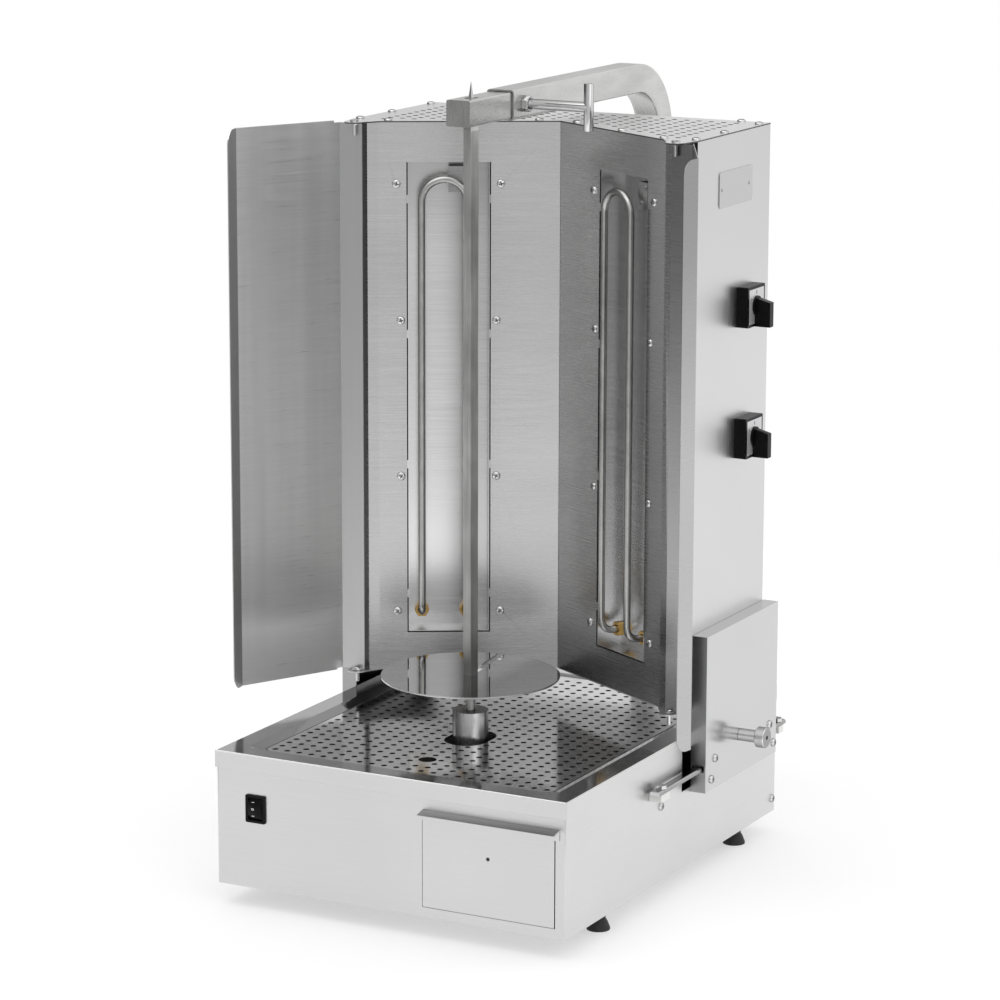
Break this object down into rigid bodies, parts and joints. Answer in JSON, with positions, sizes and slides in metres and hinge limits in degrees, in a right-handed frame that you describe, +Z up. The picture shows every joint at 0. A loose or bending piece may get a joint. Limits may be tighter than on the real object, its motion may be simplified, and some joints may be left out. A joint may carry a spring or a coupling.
{
  "type": "doner kebab grill",
  "caption": "Upright electric doner grill: square base with fat drawer and mirror tray, turning spit with disc, V-shaped heater cabinet on side rails, hinged heat doors and a bent bearing arm.",
  "frame": {"origin": "on the ground, in the middle of the bounding box", "axes": "+Z up, +Y to the back with the arm post, +X to the right seen from the front"},
  "size_m": [0.5908, 0.713, 0.9463],
  "materials": {
    "brushed_sheet": "fine horizontal brushing",
    "bright_sheet": "bright, finely brushed",
    "mirror_steel": "polished to a mirror",
    "inner_steel": "plain sheet, unseen",
    "bright_hardware": "bright plated",
    "element_sheath": "matt, heat-toned",
    "golden_fitting": "bright",
    "bronze_bush": "plain",
    "black_plastic": "fine matt",
    "white_plastic": "smooth",
    "black_rubber": "matt",
    "motor_grey": "satin"
  },
  "bodies": {
    "base": {"base_shell": "brushed_sheet", "bottom_plate": "inner_steel", "top_tray": "mirror_steel", "drawer_runners": "inner_steel", "rocker_housing": "black_plastic", "gear_motor": "motor_grey", "motor_bracket": "inner_steel", "shaft_bearing": "bronze_bush", "rubber_feet": "black_rubber", "guide_rails": "bright_sheet", "rail_blocks": "white_plastic", "base_screws": "bright_hardware", "base_bolts": "bright_hardware", "terminal_block": "white_plastic", "cable_gland": "black_plastic", "arm_tube": "brushed_sheet", "arm_saddle": "inner_steel", "arm_flange": "brushed_sheet", "clamp_nut": "bright_hardware"},
    "drip_tray": {"drip_plate": "mirror_steel"},
    "drive": {"drive_shaft": "bright_hardware", "drive_socket": "bright_sheet"},
    "spit": {"spit_rod": "brushed_sheet", "spit_disc": "mirror_steel", "disc_collar": "bright_sheet"},
    "drawer": {"drawer_front": "bright_sheet", "drawer_box": "inner_steel"},
    "rocker": {"rocker_paddle": "black_plastic"},
    "bearing_bar": {"arm_bar": "brushed_sheet", "arm_end_cap": "brushed_sheet"},
    "clamp": {"clamp_screw": "bright_hardware"},
    "cabinet": {"side_panel_left": "brushed_sheet", "side_panel_right": "brushed_sheet", "back_panel": "brushed_sheet", "top_cover": "bright_sheet", "cover_screws": "bright_hardware", "cabinet_floor": "brushed_sheet", "heater_panel_left": "brushed_sheet", "heater_panel_right": "brushed_sheet", "reflector_left": "bright_sheet", "reflector_right": "bright_sheet", "heating_element_left": "element_sheath", "heating_element_right": "element_sheath", "element_fittings": "golden_fitting", "element_brackets": "brushed_sheet", "panel_screws": "bright_hardware", "side_box_left": "brushed_sheet", "side_box_right": "brushed_sheet", "side_box_screws": "bright_hardware", "slide_blocks": "white_plastic", "lock_plate": "inner_steel", "switch_body_upper": "black_plastic", "switch_body_lower": "black_plastic", "blank_plate": "bright_sheet", "hinge_pins": "bright_hardware"},
    "door_l": {"door_left": "brushed_sheet"},
    "door_r": {"door_right": "brushed_sheet"},
    "knob": {"lock_knob": "bright_hardware"},
    "upper_lever": {"switch_lever_upper": "black_plastic"},
    "lower_lever": {"switch_lever_lower": "black_plastic"}
  },
  "joints": [
    {"name": "drip_plate_lift", "type": "slide", "parent": "base", "child": "drip_tray", "axis": [0, 0, 1], "range_m": [0, 0.025]},
    {"name": "spit_spin", "type": "hinge", "parent": "base", "child": "drive", "pos_m": [0, -0.1435, 0.19], "axis": [0, 0, 1], "continuous": true},
    {"name": "spit_lift", "type": "slide", "parent": "drive", "child": "spit", "axis": [0, 0, 1], "range_m": [0, 0.022]},
    {"name": "drawer_slide", "type": "slide", "parent": "base", "child": "drawer", "axis": [0, -1, 0], "range_m": [0, 0.25]},
    {"name": "rocker_tilt", "type": "hinge", "parent": "base", "child": "rocker", "pos_m": [-0.1729, -0.3395, 0.1204], "axis": [1, 0, 0], "range_deg": [-10, 10]},
    {"name": "bearing_bar_slide", "type": "slide", "parent": "base", "child": "bearing_bar", "axis": [0, -1, 0], "range_m": [-0.003, 0.003]},
    {"name": "clamp_turn", "type": "hinge", "parent": "base", "child": "clamp", "pos_m": [0.05, -0.0465, 0.91175], "axis": [1, 0, 0], "range_deg": [-90, 90]},
    {"name": "cabinet_slide", "type": "slide", "parent": "base", "child": "cabinet", "axis": [0, -1, 0], "range_m": [-0.015, 0.07]},
    {"name": "door_left_swing", "type": "hinge", "parent": "cabinet", "child": "door_l", "pos_m": [-0.2086, -0.0439, 0.545], "axis": [0, 0, 1], "range_deg": [-60, 55]},
    {"name": "door_right_swing", "type": "hinge", "parent": "cabinet", "child": "door_r", "pos_m": [0.2086, -0.0439, 0.545], "axis": [0, 0, 1], "range_deg": [-55, 60]},
    {"name": "lock_knob_turn", "type": "hinge", "parent": "cabinet", "child": "knob", "pos_m": [0.25, 0.0795, 0.1607], "axis": [1, 0, 0], "range_deg": [0, 270]},
    {"name": "upper_switch_turn", "type": "hinge", "parent": "cabinet", "child": "upper_lever", "pos_m": [0.242, 0.1165, 0.671], "axis": [1, 0, 0], "range_deg": [-60, 60]},
    {"name": "lower_switch_turn", "type": "hinge", "parent": "cabinet", "child": "lower_lever", "pos_m": [0.242, 0.1165, 0.515], "axis": [1, 0, 0], "range_deg": [-60, 60]}
  ]
}
